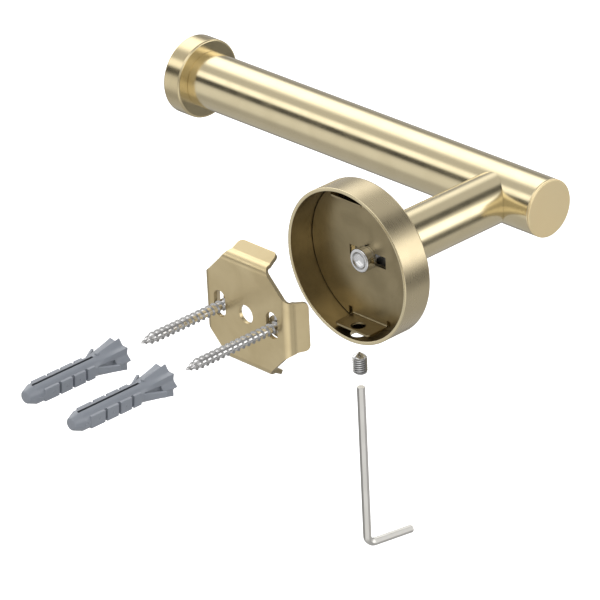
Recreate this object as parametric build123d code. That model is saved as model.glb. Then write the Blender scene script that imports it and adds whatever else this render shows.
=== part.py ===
from build123d import *
import os
from math import sqrt

# Wall-mounted toilet paper holder with its fitting kit, in millimetres.
# Origin: centre of the wall bracket's wall-side face.  The wall is the plane y = 0, +Y goes into
# the wall, the holder reaches out along -Y, the roll bar runs along +X and +Z is up.
# The parts stand as a fitting drawing shows them: the holder drawn off its bracket, the set screw
# and the hex key below it, the wall screws through the bracket and the wall plugs ahead of them.

# ---------------------------------------------------------------- how far the parts stand apart
HOLDER_OFFSET = 45.7          # holder's rim to the wall, closed when the holder is slid on
LEFT_TIP_Y = 34.9             # left wall screw's point, in front of the wall plane
RIGHT_TIP_Y = 38.1            # right wall screw's point
LEFT_PLUG_Y = 44.2            # left wall plug's collar
RIGHT_PLUG_Y = 46.8           # right wall plug's collar
SET_SCREW_TOP_Z = -33.0       # set screw's point, below the holder's axis
KEY_TOP_Z = -46.1             # hex key's upper end

# ---------------------------------------------------------------- shared by several parts
PAST = 1.0                    # how far a cutter runs past the face that it goes through
NEAR = 0.01                   # two places nearer than this are the same
THREAD_FOOT = 0.15            # share of the pitch where a thread's ridge starts
THREAD_CREST = 0.45           # share of the pitch where the ridge reaches its crest

# ---------------------------------------------------------------- base cup
CUP_D = 55.0
CUP_DEPTH = 11.6
CUP_WALL = 1.3                # round the side
CUP_FRONT = 0.8               # round front face
CUP_EDGE_R = 0.7              # front outer edge
CUP_INNER_R = 0.15            # front inner corner
CUP_RIM_R = 0.2               # rim's two edges

# ---------------------------------------------------------------- ear plate inside the cup
EAR_PLATE_T = 0.8
EAR_PLATE_GAP = 0.2           # plate's edge to the cup's inner wall
EAR_WIDTH = 16.0
EAR_INNER_Z = 23.2            # inner face of each ear, from the axis
EAR_END_GAP = 1.1             # ear's free end, behind the cup's rim
EAR_BEND_R = 1.5              # outside of the bend
EAR_CORNER_R = 1.5
RELIEF_W = 1.8                # notch beside each ear
RELIEF_DEPTH = 2.0            # how far the notch cuts in past the bend
SLOT_L = 16.6                 # long slot behind the post screw
SLOT_H = 4.2

# ---------------------------------------------------------------- post
POST_D = 18.0
POST_WALL = 1.5
POST_REACH = 75.8             # cup rim to the bar's axis
BASE_INSERT_L = 12.0
BASE_INSERT_RECESS = 1.0      # insert's face, inside the post's end
NOSE_INSERT_L = 9.0           # from the bar's surface, along the post

# ---------------------------------------------------------------- roll bar
BAR_D = 20.5
BAR_WALL = 1.5
BAR_STUB = 20.7               # post's axis to the near end's face
BAR_RUN = 146.4               # post's axis to the end flange
END_CAP_T = 1.0
END_CAP_SPIGOT_L = 5.0
END_CAP_EDGE = 0.3
FLANGE_D = 29.2
FLANGE_T = 8.0
FLANGE_EDGE_R = 0.6
BAR_INSERT_L = 12.0
STUD_D = 6.0
STUD_IN_FLANGE = 5.0
STUD_HOLE_SPARE = 0.5         # room past each end of a blind thread

# ---------------------------------------------------------------- screws inside the holder
POST_SCREW_D = 5.0
POST_SCREW_GRIP = 10.0        # thread inside the base insert
POST_HEAD_D = 8.5
POST_HEAD_H = 3.3
POST_HEAD_EDGE = 0.3
POST_SOCKET_AF = 4.0
POST_SOCKET_DEPTH = 1.3
LOCK_WASHER_D = 8.5
LOCK_WASHER_T = 0.9
LOCK_WASHER_SPLIT = 0.7
BOLT_CLEARANCE = 0.2          # round a screw in a plain hole
THREAD_CLEARANCE = 0.05       # round a screw in its tapped hole
JOINT_SCREW_D = 6.0
JOINT_SCREW_GRIP = 8.0        # thread inside the nose insert
JOINT_HEAD_D = 9.0
JOINT_HEAD_H = 3.6

# ---------------------------------------------------------------- wall bracket
BRACKET_T = 1.5
BRACKET_FLAT = 39.2           # across the necks of two opposite tabs
BRACKET_DIAGONAL = 39.6       # across two opposite slanted sides
TAB_WIDTH = 17.4
TAB_REACH = 21.8              # tab's outermost line, from the axis
TAB_DEPTH = 8.1               # tab's free end, out from the wall plane
TAB_CORNER_R = 2.0
TAB_NECK_DEPTH = 3.6          # where the tab turns outwards
BEND_R = 2.2                  # centre line of the bends
CENTRE_HOLE_D = 6.4
SCREW_SLOT_W = 5.2
SCREW_SLOT_L = 9.4
SCREW_X = 12.2                # each wall screw, left and right of the axis
SCREW_Z = -1.0                # the screws sit a little low in their slots

# ---------------------------------------------------------------- wall screws
WALL_SCREW_D = 4.0
WALL_SCREW_CORE_D = 2.7
WALL_SCREW_L = 40.0           # under the head
WALL_SCREW_PITCH = 2.25
WALL_SCREW_POINT = 4.6
WALL_SCREW_PLAIN = 0.6        # under the head, before the thread starts
WALL_HEAD_D = 7.6
WALL_HEAD_H = 2.6
WALL_HEAD_BEVEL = 1.0         # across, round the top of the head
WALL_HEAD_BEVEL_H = 1.2
CROSS_RECESS_L = 4.2
CROSS_RECESS_W = 0.9
CROSS_RECESS_DEPTH = 1.5

# ---------------------------------------------------------------- wall plugs
PLUG_D = 6.8
PLUG_L = 40.0
PLUG_COLLAR_D = 11.8
PLUG_FLARE_L = 12.0
PLUG_NOSE_D = 4.2
PLUG_NOSE_L = 3.4
PLUG_TIP_T = 1.3              # closed end of the bore
PLUG_SCREW_CLEARANCE = 0.1    # round the screw's thread
PLUG_FLUTES = 8
PLUG_FLUTE_R = 1.5
PLUG_FLUTE_DEPTH = 1.4
PLUG_TURN = 6.0               # degrees, the slit from straight up towards -X
PLUG_SLIT_W = 0.9
PLUG_SLIT_START = 11.4        # from the collar
PLUG_SLIT_END = 37.0
PLUG_NOTCHES = 3
PLUG_NOTCH_START = 16.4
PLUG_NOTCH_PITCH = 5.6
PLUG_NOTCH_W = 1.0
PLUG_NOTCH_DEPTH = 0.8
TONGUE_W = 2.2
TONGUE_T = 1.0
TONGUE_ROOT = 12.0            # from the collar
TONGUE_L = 7.5
TONGUE_LEAN = 30.0            # degrees away from the plug

# ---------------------------------------------------------------- set screw and hex key
SET_SCREW_D = 5.0
SET_SCREW_CORE_D = 4.3
SET_SCREW_L = 7.6
SET_SCREW_CONE = 1.7
SET_SCREW_PITCH = 0.8
SET_SCREW_LEAD = 0.2          # bevel round the lower end
SET_SCREW_BEHIND_RIM = 4.4    # its axis, from the cup's rim
SET_SCREW_SOCKET_DEPTH = 3.2
CUP_HOLE_D = 5.6
HEX_AF = 2.5
HEX_CLEARANCE = 0.05
KEY_LONG = 60.1               # between the bend's corner and the upper end
KEY_SHORT = 18.0
KEY_BEND_R = 3.0
KEY_TURN = 12.0               # degrees, short leg from -Y towards -X

# ---------------------------------------------------------------- places worked out from the above
RIM_Y = -HOLDER_OFFSET
CUP_FRONT_Y = RIM_Y - CUP_DEPTH
CUP_FLOOR_Y = CUP_FRONT_Y + CUP_FRONT
EAR_FACE_Y = CUP_FLOOR_Y + EAR_PLATE_T
BAR_Y = RIM_Y - POST_REACH
CUP_R = CUP_D / 2
CUP_BORE_R = CUP_R - CUP_WALL
POST_BORE_R = POST_D / 2 - POST_WALL
BAR_R = BAR_D / 2
BAR_BORE_R = BAR_R - BAR_WALL
EAR_OUTER_Z = EAR_INNER_Z + EAR_PLATE_T
SET_SCREW_Y = RIM_Y - SET_SCREW_BEHIND_RIM


# ---------------------------------------------------------------- building blocks
def rod_x(radius, x0, x1, y=0.0, z=0.0):
    """Solid round bar along X."""
    return Pos((x0 + x1) / 2, y, z) * Rot(0, 90, 0) * Cylinder(radius, x1 - x0)


def rod_y(radius, y0, y1, x=0.0, z=0.0):
    """Solid round bar along Y."""
    return Pos(x, (y0 + y1) / 2, z) * Rot(90, 0, 0) * Cylinder(radius, y1 - y0)


def rod_z(radius, z0, z1, x=0.0, y=0.0):
    """Solid round bar along Z."""
    return Pos(x, y, (z0 + z1) / 2) * Cylinder(radius, z1 - z0)


def block(x0, x1, y0, y1, z0, z1):
    """Box between two corners."""
    return Pos((x0 + x1) / 2, (y0 + y1) / 2, (z0 + z1) / 2) * Box(x1 - x0, y1 - y0, z1 - z0)


def turned(outline):
    """Solid of revolution about Z from (radius, z) points that start and end on the axis."""
    return revolve(Plane.XZ * make_face(Polyline(*outline, close=True)), Axis.Z)


def hex_bar(across_flats, length):
    """Hexagonal bar from z = 0 upwards."""
    return extrude(RegularPolygon(across_flats / sqrt(3), 6), length)


def along_y(part, x, y, z):
    """Places a part that was drawn along Z so that it points along +Y."""
    return Pos(x, y, z) * Rot(-90, 0, 0) * part


def ridged(radius_core, radius_crest, z0, z1, pitch):
    """(radius, z) points of a ringed thread between two heights."""
    points = []
    turns = int((z1 - z0) / pitch)
    for turn in range(turns):
        base = z0 + turn * pitch
        points.append((radius_core, base + THREAD_FOOT * pitch))
        points.append((radius_crest, base + THREAD_CREST * pitch))
        points.append((radius_crest, base + (1 - THREAD_CREST) * pitch))
        points.append((radius_core, base + (1 - THREAD_FOOT) * pitch))
    return points


# ---------------------------------------------------------------- the holder
def slot_and_screw_hole(y0, y1):
    """Cutter for the long slot with the post screw's hole in its middle."""
    slot = block(-SLOT_L / 2, SLOT_L / 2, y0, y1, -SLOT_H / 2, SLOT_H / 2)
    return slot + rod_y(POST_SCREW_D / 2 + BOLT_CLEARANCE, y0, y1)


def base_cup():
    """Round cup that hides the bracket, open towards the wall."""
    body = rod_y(CUP_R, CUP_FRONT_Y, RIM_Y)
    body = fillet(body.edges().sort_by(Axis.Y)[0], CUP_EDGE_R)
    bore = rod_y(CUP_BORE_R, CUP_FLOOR_Y, RIM_Y + PAST)
    bore = fillet(bore.edges().sort_by(Axis.Y)[0], CUP_INNER_R)
    body -= bore
    rim = [e for e in body.edges() if abs(e.center().Y - RIM_Y) < NEAR]
    body = fillet(rim, CUP_RIM_R)
    body -= slot_and_screw_hole(CUP_FRONT_Y - PAST, CUP_FLOOR_Y + PAST)
    return body - rod_z(CUP_HOLE_D / 2, -CUP_R - PAST, -CUP_BORE_R + PAST, 0, SET_SCREW_Y)


def ear_plate():
    """Disc against the cup's floor, with an ear bent towards the wall above and below."""
    radius = CUP_BORE_R - EAR_PLATE_GAP
    half = EAR_WIDTH / 2
    plate = rod_y(radius, CUP_FLOOR_Y, EAR_FACE_Y)
    for side in (1, -1):
        outside = sorted((side * EAR_OUTER_Z, side * (radius + PAST)))
        plate -= block(-radius, radius, CUP_FLOOR_Y, EAR_FACE_Y, *outside)
        for start in (half, -half - RELIEF_W):
            notch = sorted((side * (EAR_INNER_Z - RELIEF_DEPTH), side * (radius + PAST)))
            plate -= block(start, start + RELIEF_W, CUP_FLOOR_Y, EAR_FACE_Y, *notch)
    for side in (1, -1):
        heights = sorted((side * EAR_INNER_Z, side * EAR_OUTER_Z))
        ear = block(-half, half, CUP_FLOOR_Y, RIM_Y - EAR_END_GAP, *heights)
        ear = fillet(ear.edges().filter_by(Axis.Z).group_by(Axis.Y)[-1], EAR_CORNER_R)
        plate += ear
    bends = [
        e for e in plate.edges().filter_by(Axis.X)
        if abs(e.center().Y - CUP_FLOOR_Y) < NEAR and abs(abs(e.center().Z) - EAR_OUTER_Z) < NEAR
        and abs(e.center().X) < half
    ]
    plate = fillet(bends, EAR_BEND_R)
    plate -= slot_and_screw_hole(CUP_FLOOR_Y - PAST, EAR_FACE_Y + PAST)
    thread = SET_SCREW_D / 2 + THREAD_CLEARANCE
    return plate - rod_z(thread, -EAR_OUTER_Z - PAST, -EAR_INNER_Z + PAST, 0, SET_SCREW_Y)


def post_tube():
    """Tube between the cup and the roll bar, saddle-cut against the bar."""
    tube = rod_y(POST_D / 2, BAR_Y, CUP_FRONT_Y) - rod_y(POST_BORE_R, BAR_Y, CUP_FRONT_Y)
    return tube - rod_x(BAR_R, -POST_D, POST_D, BAR_Y)


def base_insert():
    """Tapped slug in the cup end of the post."""
    end = CUP_FRONT_Y - BASE_INSERT_RECESS
    slug = rod_y(POST_BORE_R, end - BASE_INSERT_L, end)
    tapped = POST_SCREW_D / 2 + THREAD_CLEARANCE
    return slug - rod_y(tapped, end - POST_SCREW_GRIP - STUD_HOLE_SPARE, end)


def lock_washer():
    """Split spring washer under the post screw's head."""
    top = EAR_FACE_Y + LOCK_WASHER_T
    ring = rod_y(LOCK_WASHER_D / 2, EAR_FACE_Y, top)
    ring -= rod_y(POST_SCREW_D / 2 + BOLT_CLEARANCE, EAR_FACE_Y, top)
    split = LOCK_WASHER_SPLIT / 2
    return ring - block(-split, split, EAR_FACE_Y, top, 0, LOCK_WASHER_D)


def post_screw():
    """Low socket-head screw that holds ear plate, cup and post together."""
    seat = EAR_FACE_Y + LOCK_WASHER_T
    head = rod_y(POST_HEAD_D / 2, seat, seat + POST_HEAD_H)
    head = chamfer(head.edges().sort_by(Axis.Y)[-1], POST_HEAD_EDGE)
    socket = hex_bar(POST_SOCKET_AF, POST_SOCKET_DEPTH)
    head -= along_y(socket, 0, seat + POST_HEAD_H - POST_SOCKET_DEPTH, 0)
    tip = CUP_FRONT_Y - BASE_INSERT_RECESS - POST_SCREW_GRIP
    return head + rod_y(POST_SCREW_D / 2, tip, seat)


def bar_bore_shape():
    """Round space inside the roll bar, over the width of the post."""
    return rod_x(BAR_BORE_R, -POST_D, POST_D, BAR_Y)


def nose_insert():
    """Tapped slug in the bar end of the post, saddle-cut against the bar."""
    slug = rod_y(POST_BORE_R, BAR_Y, BAR_Y + BAR_R + NOSE_INSERT_L)
    slug -= rod_x(BAR_R, -POST_D, POST_D, BAR_Y)
    tapped = JOINT_SCREW_D / 2 + THREAD_CLEARANCE
    return slug - rod_y(tapped, BAR_Y, BAR_Y + BAR_R + JOINT_SCREW_GRIP + STUD_HOLE_SPARE)


def joint_screw():
    """Screw inside the roll bar that pulls the post against it."""
    head = rod_y(JOINT_HEAD_D / 2, BAR_Y + BAR_BORE_R - JOINT_HEAD_H, BAR_Y + BAR_R)
    head &= bar_bore_shape()
    shank = rod_y(JOINT_SCREW_D / 2, BAR_Y + BAR_BORE_R - JOINT_HEAD_H, BAR_Y + BAR_R + JOINT_SCREW_GRIP)
    return head + shank


def bar_tube():
    """The tube that carries the roll."""
    start = -BAR_STUB + END_CAP_T
    tube = rod_x(BAR_R, start, BAR_RUN, BAR_Y) - rod_x(BAR_BORE_R, start, BAR_RUN, BAR_Y)
    return tube - rod_y(JOINT_SCREW_D / 2 + BOLT_CLEARANCE, BAR_Y, BAR_Y + BAR_R)


def bar_end_cap():
    """Polished disc with a spigot that closes the bar's near end."""
    disc = rod_x(BAR_R, -BAR_STUB, -BAR_STUB + END_CAP_T, BAR_Y)
    disc = chamfer(disc.edges().sort_by(Axis.X)[0], END_CAP_EDGE)
    return disc + rod_x(BAR_BORE_R, -BAR_STUB, -BAR_STUB + END_CAP_T + END_CAP_SPIGOT_L, BAR_Y)


def bar_insert():
    """Tapped slug in the bar's far end."""
    slug = rod_x(BAR_BORE_R, BAR_RUN - BAR_INSERT_L, BAR_RUN, BAR_Y)
    return slug - rod_x(STUD_D / 2 + THREAD_CLEARANCE, BAR_RUN - BAR_INSERT_L, BAR_RUN, BAR_Y)


def flange_stud():
    """Threaded stud from the bar's insert into the end flange."""
    return rod_x(STUD_D / 2, BAR_RUN - BAR_INSERT_L, BAR_RUN + STUD_IN_FLANGE, BAR_Y)


def end_flange():
    """Round stop that keeps the roll on the bar."""
    disc = rod_x(FLANGE_D / 2, BAR_RUN, BAR_RUN + FLANGE_T, BAR_Y)
    disc = fillet(disc.edges().filter_by(GeomType.CIRCLE), FLANGE_EDGE_R)
    hole_end = BAR_RUN + STUD_IN_FLANGE + STUD_HOLE_SPARE
    return disc - rod_x(STUD_D / 2 + THREAD_CLEARANCE, BAR_RUN - PAST, hole_end, BAR_Y)


# ---------------------------------------------------------------- the wall bracket
def bracket_tab(bend_start):
    """One bent tab on the +X side: round the bend, out from the wall, then flared from the axis."""
    mid = BRACKET_T / 2
    neck = BRACKET_FLAT / 2 - mid
    route = FilletPolyline(
        (0, -mid), (neck, -mid), (neck, -TAB_NECK_DEPTH), (TAB_REACH - mid, -TAB_DEPTH + mid),
        radius=BEND_R,
    )
    strip = make_face(offset(route, mid, side=Side.BOTH).edges())
    tab = extrude(strip, bend_start, both=True)
    outline = Plane.YZ * RectangleRounded(2 * TAB_DEPTH, TAB_WIDTH, TAB_CORNER_R)
    room = extrude(outline, TAB_REACH) + block(0, TAB_REACH, -BRACKET_T, 0, -bend_start, bend_start)
    return tab & room


def bracket_outline():
    """The flat plate's eight sides with the four tabs' widths, as seen from the wall."""
    half = TAB_WIDTH / 2
    side = BRACKET_DIAGONAL / sqrt(2) - half
    corners = [(side, -half), (side, half), (half, side), (-half, side)]
    corners += [(-side, half), (-side, -half), (-half, -side), (half, -side)]
    plate = make_face(Polyline(*corners, close=True))
    return plate + Rectangle(2 * TAB_REACH, TAB_WIDTH) + Rectangle(TAB_WIDTH, 2 * TAB_REACH)


def wall_bracket():
    """Eight-sided plate with four tabs, a centre hole and two upright screw slots."""
    bend_start = BRACKET_FLAT / 2 - BRACKET_T / 2 - BEND_R
    plate = block(-bend_start, bend_start, -BRACKET_T, 0, -bend_start, bend_start)
    for turn in range(4):
        plate += Rot(0, 90 * turn, 0) * bracket_tab(bend_start)
    plate &= extrude(Plane.XZ * bracket_outline(), 2 * TAB_DEPTH, both=True)
    plate -= rod_y(CENTRE_HOLE_D / 2, -BRACKET_T - PAST, PAST)
    straight = (SCREW_SLOT_L - SCREW_SLOT_W) / 2
    half_w = SCREW_SLOT_W / 2
    for side in (1, -1):
        x = side * SCREW_X
        plate -= block(x - half_w, x + half_w, -BRACKET_T - PAST, PAST, -straight, straight)
        for end in (straight, -straight):
            plate -= rod_y(half_w, -BRACKET_T - PAST, PAST, x, end)
    return plate


# ---------------------------------------------------------------- the wall screws and plugs
def wall_screw(x, tip_y):
    """Pan-head screw for a wall plug, pointing into the wall."""
    core = WALL_SCREW_CORE_D / 2
    crest = WALL_SCREW_D / 2
    shoulder = WALL_SCREW_L - WALL_SCREW_POINT
    head = WALL_HEAD_D / 2
    outline = [(0, -WALL_HEAD_H), (head - WALL_HEAD_BEVEL, -WALL_HEAD_H)]
    outline += [(head, -WALL_HEAD_H + WALL_HEAD_BEVEL_H), (head, 0), (core, 0)]
    outline += ridged(core, crest, WALL_SCREW_PLAIN, shoulder, WALL_SCREW_PITCH)
    outline += [(core, shoulder), (0, WALL_SCREW_L)]
    screw = turned(outline)
    for angle in (0, 90):
        arm = Pos(0, 0, -WALL_HEAD_H + CROSS_RECESS_DEPTH / 2) * Rot(0, 0, angle)
        screw -= arm * Box(CROSS_RECESS_L, CROSS_RECESS_W, CROSS_RECESS_DEPTH)
    return along_y(screw, x, tip_y - WALL_SCREW_L, SCREW_Z)


def wall_plug(x, collar_y):
    """Expanding plastic plug, collar towards the room and nose into the wall."""
    bore = WALL_SCREW_D / 2 + PLUG_SCREW_CLEARANCE
    collar = PLUG_COLLAR_D / 2
    body = PLUG_D / 2
    outline = [(0, 0), (collar, 0), (body, PLUG_FLARE_L), (body, PLUG_L - PLUG_NOSE_L)]
    outline += [(PLUG_NOSE_D / 2, PLUG_L), (0, PLUG_L)]
    plug = turned(outline)
    for side in (1, -1):
        lean = Rot(0, -side * TONGUE_LEAN, 0)
        centre = Pos(side * (body - TONGUE_T / 2), 0, TONGUE_ROOT)
        plug += centre * lean * Pos(0, 0, -TONGUE_L / 2) * Box(TONGUE_T, TONGUE_W, TONGUE_L)
    for flute in range(PLUG_FLUTES):
        angle = 360 / PLUG_FLUTES * (flute + 0.5)
        centre = collar + PLUG_FLUTE_R - PLUG_FLUTE_DEPTH
        plug -= Rot(0, 0, angle) * rod_z(PLUG_FLUTE_R, -PAST, PLUG_FLARE_L + PAST, centre)
    plug -= rod_z(bore, -PAST, PLUG_L - PLUG_TIP_T)
    plug -= block(-PLUG_SLIT_W / 2, PLUG_SLIT_W / 2, -PLUG_D, PLUG_D, PLUG_SLIT_START, PLUG_SLIT_END)
    for notch in range(PLUG_NOTCHES):
        start = PLUG_NOTCH_START + notch * PLUG_NOTCH_PITCH
        for side in (1, -1):
            depths = sorted((side * (body - PLUG_NOTCH_DEPTH), side * (body + PAST)))
            plug -= block(*depths, -PLUG_D, PLUG_D, start, start + PLUG_NOTCH_W)
    return along_y(Rot(0, 0, -PLUG_TURN) * plug, x, collar_y, SCREW_Z)


# ---------------------------------------------------------------- the set screw and its key
def set_screw():
    """Cone-point set screw, pointing up, with a hexagon socket underneath."""
    core = SET_SCREW_CORE_D / 2
    shoulder = SET_SCREW_L - SET_SCREW_CONE
    outline = [(0, 0), (core - SET_SCREW_LEAD, 0)]
    outline += ridged(core, SET_SCREW_D / 2, SET_SCREW_LEAD, shoulder, SET_SCREW_PITCH)
    outline += [(core, shoulder), (0, SET_SCREW_L)]
    screw = turned(outline)
    screw -= Rot(0, 0, -KEY_TURN) * hex_bar(HEX_AF + 2 * HEX_CLEARANCE, SET_SCREW_SOCKET_DEPTH)
    return Pos(0, SET_SCREW_Y, SET_SCREW_TOP_Z - SET_SCREW_L) * screw


def hex_key():
    """L-shaped key, long leg up into the set screw, short leg away from the wall."""
    route = FilletPolyline((0, 0, 0), (0, 0, -KEY_LONG), (0, -KEY_SHORT, -KEY_LONG), radius=KEY_BEND_R)
    downwards = Plane(origin=(0, 0, 0), x_dir=(1, 0, 0), z_dir=(0, 0, -1))
    section = downwards * RegularPolygon(HEX_AF / sqrt(3), 6)
    key = sweep(section, path=route)
    return Pos(0, SET_SCREW_Y, KEY_TOP_Z) * Rot(0, 0, -KEY_TURN) * key


PARTS = {
    "base_cup": base_cup(),
    "ear_plate": ear_plate(),
    "post_tube": post_tube(),
    "post_base_insert": base_insert(),
    "lock_washer": lock_washer(),
    "post_screw": post_screw(),
    "post_nose_insert": nose_insert(),
    "joint_screw": joint_screw(),
    "bar_tube": bar_tube(),
    "bar_end_cap": bar_end_cap(),
    "bar_insert": bar_insert(),
    "flange_stud": flange_stud(),
    "end_flange": end_flange(),
    "wall_bracket": wall_bracket(),
    "wall_screw_left": wall_screw(SCREW_X, LEFT_TIP_Y),
    "wall_screw_right": wall_screw(-SCREW_X, RIGHT_TIP_Y),
    "wall_plug_left": wall_plug(SCREW_X, LEFT_PLUG_Y),
    "wall_plug_right": wall_plug(-SCREW_X, RIGHT_PLUG_Y),
    "set_screw": set_screw(),
    "hex_key": hex_key(),
}

os.makedirs("parts", exist_ok=True)
for name, part in PARTS.items():
    export_step(part, os.path.join("parts", name + ".step"))
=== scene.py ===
"""Wall-mounted toilet paper holder and its fitting kit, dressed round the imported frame.

The holder is a round base cup, a post, and a straight roll bar with an end flange, in satin
champagne gold. Sizes are in millimetres, places come from the frame.
"""

from __future__ import annotations

import logging
import math
from dataclasses import dataclass
from enum import Enum
from typing import Callable, Sequence

import bmesh
import bpy
from mathutils import Matrix, Vector

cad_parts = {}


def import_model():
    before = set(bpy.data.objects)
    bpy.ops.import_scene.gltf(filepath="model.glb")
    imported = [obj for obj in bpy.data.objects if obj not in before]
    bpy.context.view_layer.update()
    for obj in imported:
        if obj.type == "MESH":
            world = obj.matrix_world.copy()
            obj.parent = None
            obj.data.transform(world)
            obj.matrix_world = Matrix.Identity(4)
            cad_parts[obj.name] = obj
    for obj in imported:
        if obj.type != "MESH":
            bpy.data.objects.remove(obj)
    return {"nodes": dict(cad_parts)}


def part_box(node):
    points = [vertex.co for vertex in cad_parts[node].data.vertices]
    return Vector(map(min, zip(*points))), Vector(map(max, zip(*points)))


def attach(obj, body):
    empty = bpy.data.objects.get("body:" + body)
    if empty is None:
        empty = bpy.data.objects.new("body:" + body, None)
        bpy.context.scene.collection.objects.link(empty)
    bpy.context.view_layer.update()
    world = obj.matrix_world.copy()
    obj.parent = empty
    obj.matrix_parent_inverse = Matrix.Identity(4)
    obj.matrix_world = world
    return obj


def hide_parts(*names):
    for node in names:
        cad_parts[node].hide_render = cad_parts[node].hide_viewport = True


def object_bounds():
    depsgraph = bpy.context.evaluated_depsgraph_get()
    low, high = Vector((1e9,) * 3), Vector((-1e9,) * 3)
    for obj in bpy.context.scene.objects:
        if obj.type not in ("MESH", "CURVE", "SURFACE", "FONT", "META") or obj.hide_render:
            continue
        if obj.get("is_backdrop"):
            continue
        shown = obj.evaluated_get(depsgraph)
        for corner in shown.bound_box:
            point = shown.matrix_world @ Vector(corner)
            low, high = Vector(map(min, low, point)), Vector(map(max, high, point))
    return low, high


LOG = logging.getLogger("paper_holder")
MM = 0.001
WELD = 0.0005 * MM
TURN = 2 * math.pi


# ------------------------------------------------------------------------------ the bench
class Facing(Enum):
    """Which way a piece's own +Z points when it is placed."""

    UP = Matrix.Identity(4)
    WALL = Matrix.Rotation(-math.pi / 2, 4, "X")
    ALONG_BAR = Matrix.Rotation(math.pi / 2, 4, "Y")


class Joining(Enum):
    """What a second shape does to a piece."""

    CUT = "DIFFERENCE"
    ADD = "UNION"


def activate(piece: bpy.types.Object) -> None:
    """Makes one object the only selected and the active one.

    Args:
        piece: The object to work on.
    """
    bpy.ops.object.select_all(action="DESELECT")
    piece.select_set(True)
    bpy.context.view_layer.objects.active = piece


def open_mesh(piece: bpy.types.Object) -> None:
    """Enters edit mode on one object with nothing selected.

    Args:
        piece: The object whose mesh is edited.
    """
    activate(piece)
    bpy.ops.object.mode_set(mode="EDIT")
    bpy.ops.mesh.select_all(action="DESELECT")


def close_mesh() -> None:
    """Leaves edit mode."""
    bpy.ops.object.mode_set(mode="OBJECT")


def pick_points(piece: bpy.types.Object, wanted: Callable[[Vector], bool]) -> int:
    """Selects the vertices that pass a test, and what lies between them.

    Args:
        piece: The object that is open in edit mode.
        wanted: The test on a vertex's place.

    Returns:
        How many vertices were selected.
    """
    grid = bmesh.from_edit_mesh(piece.data)
    bpy.ops.mesh.select_mode(type="VERT")
    for point in grid.verts:
        point.select = wanted(point.co)
    grid.select_flush(True)
    bmesh.update_edit_mesh(piece.data)
    return sum(point.select for point in grid.verts)


def laid_line(name: str, points: Sequence[Vector], filled: bool = False) -> bpy.types.Object:
    """Lays a line of vertices one after the other.

    Args:
        name: The new object's name.
        points: The places of the vertices, in metres.
        filled: Whether the line is closed into one face.

    Returns:
        The new object.
    """
    bpy.ops.object.select_all(action="DESELECT")
    bpy.ops.mesh.primitive_plane_add(size=MM, location=(0, 0, 0))
    piece = bpy.context.object
    piece.name = name
    piece.data.name = name
    bpy.ops.object.mode_set(mode="EDIT")
    bpy.ops.mesh.select_all(action="SELECT")
    bpy.ops.mesh.merge(type="CENTER")
    bpy.ops.transform.translate(value=points[0])
    for start, end in zip(points, points[1:]):
        bpy.ops.mesh.extrude_vertices_move(TRANSFORM_OT_translate={"value": end - start})
    if filled:
        bpy.ops.mesh.select_all(action="SELECT")
        bpy.ops.mesh.edge_face_add()
    close_mesh()
    return piece


def spun(name: str, outline: Sequence[tuple[float, float]], sides: int = 96) -> bpy.types.Object:
    """Spins an outline round Z into a closed piece.

    Args:
        name: The new object's name.
        outline: (radius, height) in millimetres, from the axis round to the axis again.
        sides: How many steps one turn has.

    Returns:
        The new object.
    """
    piece = laid_line(name, [Vector((radius * MM, 0, height * MM)) for radius, height in outline])
    open_mesh(piece)
    bpy.ops.mesh.select_all(action="SELECT")
    bpy.ops.mesh.spin(steps=sides, angle=TURN, center=(0, 0, 0), axis=(0, 0, 1))
    tidy_open_mesh()
    return piece


def tidy_open_mesh() -> None:
    """Welds the doubles of the open mesh, turns its faces outwards and closes it."""
    bpy.ops.mesh.select_all(action="SELECT")
    bpy.ops.mesh.remove_doubles(threshold=WELD)
    bpy.ops.mesh.normals_make_consistent(inside=False)
    close_mesh()


def settle(piece: bpy.types.Object, place: Matrix) -> bpy.types.Object:
    """Moves and turns a piece, and puts both into its mesh.

    Args:
        piece: The piece.
        place: The move and the turn from where it stands.

    Returns:
        The same piece.
    """
    piece.matrix_world = place @ piece.matrix_basis
    activate(piece)
    bpy.ops.object.transform_apply(location=True, rotation=True, scale=True)
    return piece


def set_down(piece: bpy.types.Object, at: Vector, facing: Facing = Facing.UP,
             turn: float = 0.0) -> bpy.types.Object:
    """Stands a piece in its place.

    Args:
        piece: The piece, drawn round its own Z axis.
        at: Where its own origin goes, in metres.
        facing: Where its own +Z points.
        turn: Its turn round its own +Z, in degrees.

    Returns:
        The same piece.
    """
    return settle(piece, Matrix.Translation(at) @ facing.value @ Matrix.Rotation(math.radians(turn), 4, "Z"))


def combine(piece: bpy.types.Object, tool: bpy.types.Object, how: Joining = Joining.CUT) -> None:
    """Applies a boolean with a second shape, which is used up.

    Args:
        piece: The piece that changes.
        tool: The shape that cuts it or is added to it.
        how: What the shape does.
    """
    step = piece.modifiers.new("combine", "BOOLEAN")
    step.operation = how.value
    step.solver = "EXACT"
    step.object = tool
    activate(piece)
    bpy.ops.object.modifier_apply(modifier=step.name)
    bpy.data.objects.remove(tool)


def merge_shells(piece: bpy.types.Object, others: Sequence[bpy.types.Object]) -> None:
    """Joins other closed shells into a piece's object.

    Args:
        piece: The object that stays.
        others: The objects that go into it.
    """
    activate(piece)
    for other in others:
        other.select_set(True)
    bpy.ops.object.join()


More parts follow.
